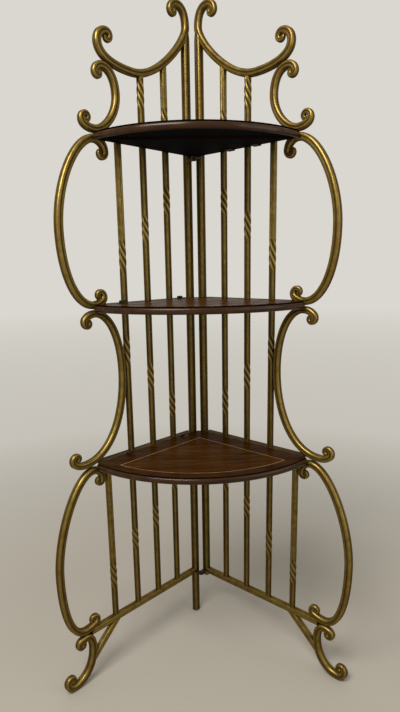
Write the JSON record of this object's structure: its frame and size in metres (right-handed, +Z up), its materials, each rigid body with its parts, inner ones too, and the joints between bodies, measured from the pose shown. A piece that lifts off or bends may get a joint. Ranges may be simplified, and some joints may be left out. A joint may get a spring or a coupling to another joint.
{
  "type": "corner stand",
  "caption": "Folding corner stand: scrolled antique-brass side panels at a right angle carry quarter-round wooden shelves that lift up on hinges, on a rear leg and scroll feet.",
  "frame": {"origin": "on the floor, under the middle of the stand's outer box", "axes": "+Z up, the open front faces -Y, the corner of the panels is at +Y, +X is the viewer's right"},
  "size_m": [0.7696, 0.4096, 1.798],
  "materials": {
    "antique_brass": "aged gold-brown finish with a soft shine and darker hollows",
    "dark_mahogany": "dark red-brown polished veneer",
    "dark_hinge_metal": "darkened hinge metal"
  },
  "bodies": {
    "left_panel": {"left_post": "antique_brass", "left_bar_1": "antique_brass", "left_bar_2": "antique_brass", "left_bar_3": "antique_brass", "left_bar_4": "antique_brass", "left_base_rail": "antique_brass", "left_bottom_rail": "antique_brass", "left_middle_rail": "antique_brass", "left_top_rail": "antique_brass", "left_crest_scroll": "antique_brass", "left_small_scroll": "antique_brass", "left_upper_scroll": "antique_brass", "left_inner_scroll": "antique_brass", "left_lower_scroll": "antique_brass", "left_foot_scroll": "antique_brass", "left_brace": "antique_brass", "bottom_near_hinge_fixed_leaf": "dark_hinge_metal", "bottom_near_hinge_pin": "dark_hinge_metal", "bottom_far_hinge_fixed_leaf": "dark_hinge_metal", "bottom_far_hinge_pin": "dark_hinge_metal", "middle_near_hinge_fixed_leaf": "dark_hinge_metal", "middle_near_hinge_pin": "dark_hinge_metal", "middle_far_hinge_fixed_leaf": "dark_hinge_metal", "middle_far_hinge_pin": "dark_hinge_metal", "top_near_hinge_fixed_leaf": "dark_hinge_metal", "top_near_hinge_pin": "dark_hinge_metal", "top_far_hinge_fixed_leaf": "dark_hinge_metal", "top_far_hinge_pin": "dark_hinge_metal", "corner_low_left_lug": "dark_hinge_metal", "corner_low_pin": "dark_hinge_metal", "corner_high_left_lug": "dark_hinge_metal", "corner_high_pin": "dark_hinge_metal"},
    "right_panel": {"right_post": "antique_brass", "right_bar_1": "antique_brass", "right_bar_2": "antique_brass", "right_bar_3": "antique_brass", "right_bar_4": "antique_brass", "right_base_rail": "antique_brass", "right_bottom_rail": "antique_brass", "right_middle_rail": "antique_brass", "right_top_rail": "antique_brass", "right_crest_scroll": "antique_brass", "right_small_scroll": "antique_brass", "right_upper_scroll": "antique_brass", "right_inner_scroll": "antique_brass", "right_lower_scroll": "antique_brass", "right_foot_scroll": "antique_brass", "right_brace": "antique_brass", "corner_low_right_lug": "dark_hinge_metal", "corner_high_right_lug": "dark_hinge_metal"},
    "shelf_bottom": {"shelf_bottom": "dark_mahogany", "bottom_near_hinge_moving_leaf": "dark_hinge_metal", "bottom_far_hinge_moving_leaf": "dark_hinge_metal"},
    "shelf_middle": {"shelf_middle": "dark_mahogany", "middle_near_hinge_moving_leaf": "dark_hinge_metal", "middle_far_hinge_moving_leaf": "dark_hinge_metal"},
    "shelf_top": {"shelf_top": "dark_mahogany", "top_near_hinge_moving_leaf": "dark_hinge_metal", "top_far_hinge_moving_leaf": "dark_hinge_metal"}
  },
  "joints": [
    {"name": "right_panel_swing", "type": "hinge", "parent": "left_panel", "child": "right_panel", "pos_m": [0, 0.16914, 0.147], "axis": [0, 0, 1], "range_deg": [0, 24]},
    {"name": "shelf_bottom_fold", "type": "hinge", "parent": "left_panel", "child": "shelf_bottom", "pos_m": [-0.12304, 0.06053, 0.6289], "axis": [-0.7071, -0.7071, 0], "range_deg": [0, 90]},
    {"name": "shelf_middle_fold", "type": "hinge", "parent": "left_panel", "child": "shelf_middle", "pos_m": [-0.12304, 0.06053, 1.0369], "axis": [-0.7071, -0.7071, 0], "range_deg": [0, 90]},
    {"name": "shelf_top_fold", "type": "hinge", "parent": "left_panel", "child": "shelf_top", "pos_m": [-0.12304, 0.06053, 1.4379], "axis": [-0.7071, -0.7071, 0], "range_deg": [0, 90]}
  ]
}
